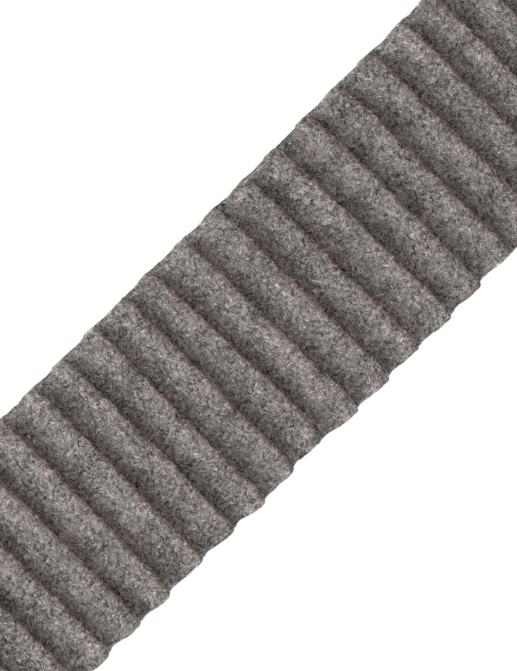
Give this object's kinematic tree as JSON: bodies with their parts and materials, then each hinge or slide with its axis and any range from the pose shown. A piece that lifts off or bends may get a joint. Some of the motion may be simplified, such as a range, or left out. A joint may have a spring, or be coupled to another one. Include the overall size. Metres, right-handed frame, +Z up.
{
  "type": "cut length of pleated wool trim",
  "caption": "Flat, straight length of heathered grey felted wool cloth, folded across into soft knife pleats that all lie one way, for edging cushions, curtains or garments.",
  "frame": {"origin": "middle of the trim's underside, on the surface that it lies on", "axes": "+X along the trim, the way its folds point; +Y across it, towards its straighter long edge; +Z up, away from its back"},
  "size_m": [0.3064, 0.0775, 0.0058],
  "materials": {
    "wool_cloth": "heathered felted wool, matt"
  },
  "bodies": {
    "root": {"pleated_band": "wool_cloth"}
  },
  "joints": []
}
